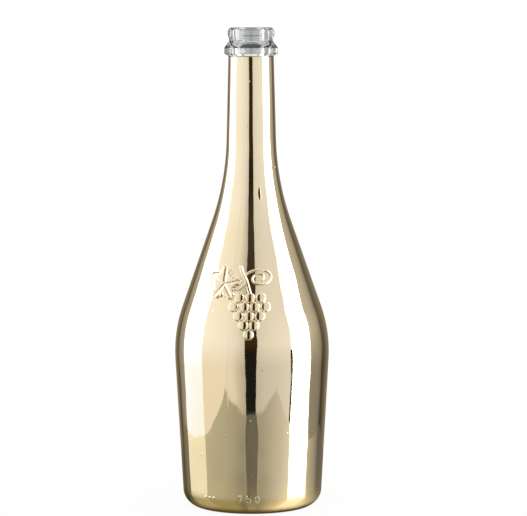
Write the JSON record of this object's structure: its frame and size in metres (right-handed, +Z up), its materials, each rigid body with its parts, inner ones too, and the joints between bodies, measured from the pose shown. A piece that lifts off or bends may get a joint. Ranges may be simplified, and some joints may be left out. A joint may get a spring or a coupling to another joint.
{
  "type": "champagne bottle",
  "caption": "Tall open bottle for sparkling wine: thick glass with sloping shoulders, a punted foot and a collared crown mouth, coated in mirror gold down to the heel.",
  "frame": {"origin": "on the table, under the middle of the foot", "axes": "+Z up the bottle's axis; -Y is the side that the picture shows"},
  "size_m": [0.0968, 0.0968, 0.3],
  "materials": {
    "bare_glass": "clear flint glass, fire polished",
    "base_lacquer": "glossy levelling lacquer under the metal",
    "metal_film": "bright vapour-deposited film",
    "gold_lacquer": "mirror gold: a gold-tinted clear lacquer over the bright film"
  },
  "bodies": {
    "root": {"glass_bottle": "bare_glass", "base_lacquer": "base_lacquer", "metal_film": "metal_film", "gold_lacquer": "gold_lacquer"}
  },
  "joints": []
}
